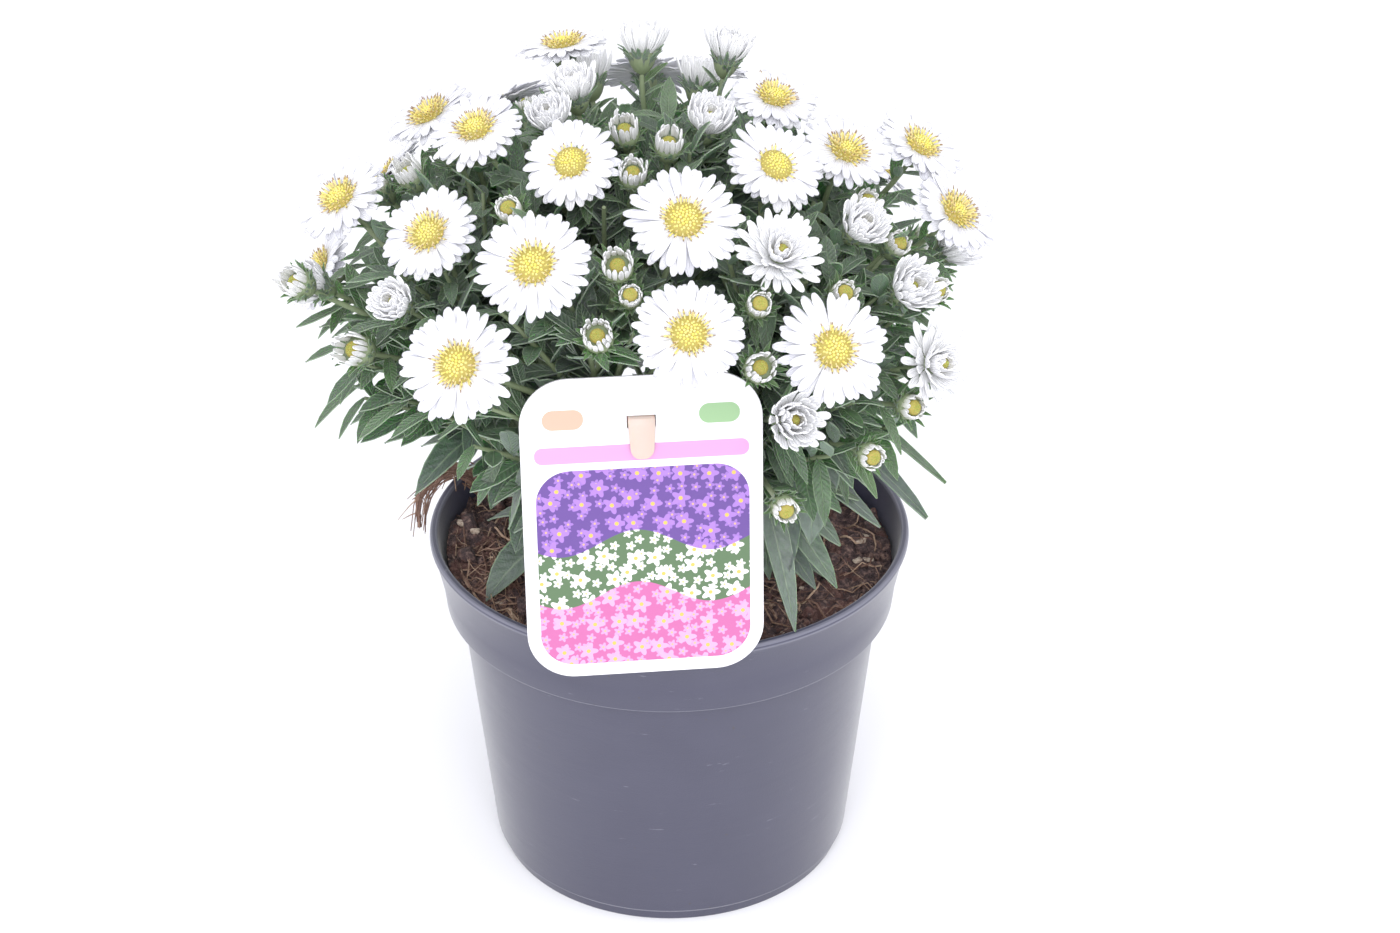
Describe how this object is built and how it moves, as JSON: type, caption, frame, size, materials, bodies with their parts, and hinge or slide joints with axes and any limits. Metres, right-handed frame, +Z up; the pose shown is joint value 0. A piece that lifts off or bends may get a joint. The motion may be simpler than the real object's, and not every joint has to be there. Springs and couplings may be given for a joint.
{
  "type": "potted new york aster",
  "caption": "White-flowered dwarf New York aster with yellow discs, half-open heads and buds on leafy stems, in a grey plastic nursery pot with soil and a hung plant label.",
  "frame": {"origin": "centre of the pot's flat base, on the surface it stands on", "axes": "+Z up along the pot's axis and the plant's height; -Y towards the side that the label hangs on"},
  "size_m": [0.1821, 0.1712, 0.2291],
  "materials": {
    "pot_plastic": "matte",
    "peat_soil": "matte",
    "label_card": "satin",
    "stake_plastic": "satin",
    "foliage": "matte",
    "ray_florets": "matte",
    "disc_florets": "matte"
  },
  "bodies": {
    "root": {"pot": "pot_plastic", "soil": "peat_soil", "label": "label_card", "label_stake": "stake_plastic", "leafy_stem_1": "foliage", "leafy_stem_2": "foliage", "leafy_stem_3": "foliage", "leafy_stem_4": "foliage", "leafy_stem_5": "foliage", "leafy_stem_6": "foliage", "leafy_stem_7": "foliage", "leafy_stem_8": "foliage", "rays_01": "ray_florets", "disc_01": "disc_florets", "rays_02": "ray_florets", "disc_02": "disc_florets", "rays_03": "ray_florets", "disc_03": "disc_florets", "rays_04": "ray_florets", "disc_04": "disc_florets", "rays_05": "ray_florets", "disc_05": "disc_florets", "rays_06": "ray_florets", "disc_06": "disc_florets", "rays_07": "ray_florets", "disc_07": "disc_florets", "rays_08": "ray_florets", "disc_08": "disc_florets", "rays_09": "ray_florets", "disc_09": "disc_florets", "rays_10": "ray_florets", "disc_10": "disc_florets", "rays_11": "ray_florets", "disc_11": "disc_florets", "rays_12": "ray_florets", "disc_12": "disc_florets", "rays_13": "ray_florets", "disc_13": "disc_florets", "rays_14": "ray_florets", "disc_14": "disc_florets", "rays_15": "ray_florets", "disc_15": "disc_florets", "rays_16": "ray_florets", "disc_16": "disc_florets", "rays_17": "ray_florets", "disc_17": "disc_florets", "rays_18": "ray_florets", "disc_18": "disc_florets", "rays_19": "ray_florets", "disc_19": "disc_florets", "rays_20": "ray_florets", "disc_20": "disc_florets", "rays_21": "ray_florets", "disc_21": "disc_florets", "rays_22": "ray_florets", "disc_22": "disc_florets", "rays_23": "ray_florets", "disc_23": "disc_florets", "rays_24": "ray_florets", "disc_24": "disc_florets"}
  },
  "joints": []
}
